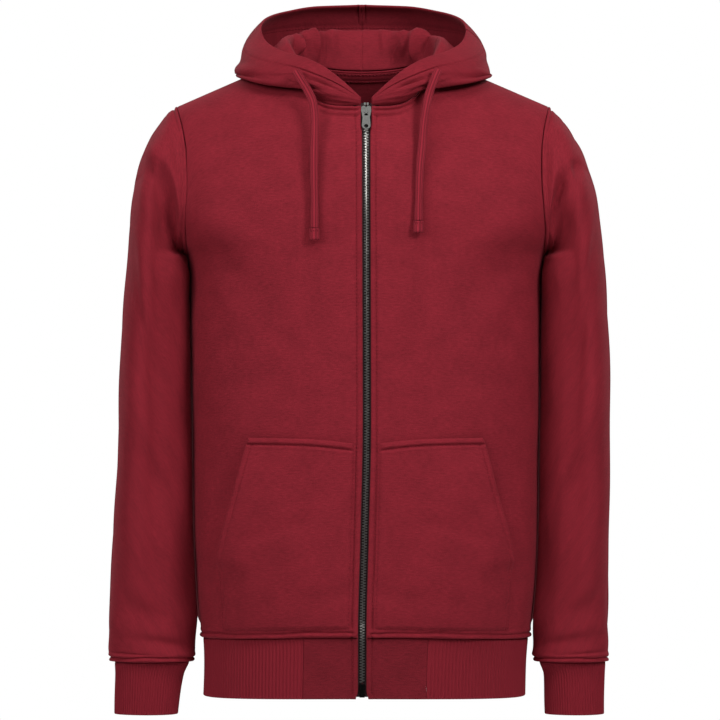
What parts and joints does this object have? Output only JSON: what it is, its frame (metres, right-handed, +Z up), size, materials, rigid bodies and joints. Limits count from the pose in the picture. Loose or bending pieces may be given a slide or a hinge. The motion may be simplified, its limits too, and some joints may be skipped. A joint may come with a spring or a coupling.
{
  "type": "zip hoodie",
  "caption": "Fleece hoodie worn open at the neck and closed by a front zip, with a hood lying back, flat ties, hand pockets, and ribbed cuffs and hem.",
  "frame": {"origin": "the middle of the neck between the shoulders, where a wearer or a hanger carries the garment", "axes": "+Z up along the body, -Y out of the front with the zip, +X to the viewer's right as the front is seen"},
  "size_m": [0.5503, 0.2972, 0.7902],
  "materials": {
    "fleece": "matte wine-red brushed sweatshirt knit",
    "rib": "matte wine-red ribbed knit",
    "tie": "flat knitted tie in the body's colour",
    "neck_tape": "folded jersey tape",
    "zip_tape": "dark woven zip tape",
    "gunmetal": "dark nickel-plated metal"
  },
  "bodies": {
    "hoodie": {"front_left": "fleece", "front_right": "fleece", "back": "fleece", "sleeve_left": "fleece", "sleeve_right": "fleece", "cuff_left": "rib", "cuff_right": "rib", "hem_rib": "rib", "hem_block_left": "fleece", "hem_block_right": "fleece", "pocket_left": "fleece", "pocket_right": "fleece", "hood_left": "fleece", "hood_right": "fleece", "neck_tape": "neck_tape", "zip_tape_left": "zip_tape", "zip_tape_right": "zip_tape", "zip_teeth_left": "gunmetal", "zip_teeth_right": "gunmetal", "zip_stop_left": "gunmetal", "zip_stop_right": "gunmetal", "zip_box": "gunmetal", "zip_slider": "gunmetal", "drawcord_left": "tie", "drawcord_right": "tie", "drawcord_tip_left": "tie", "drawcord_tip_right": "tie"},
    "pull": {"zip_pull": "gunmetal"}
  },
  "joints": [
    {"name": "pull_hinge", "type": "hinge", "parent": "hoodie", "child": "pull", "pos_m": [0.00449, -0.10176, -0.05839], "axis": [-1, 0, 0], "range_deg": [0, 110]}
  ]
}
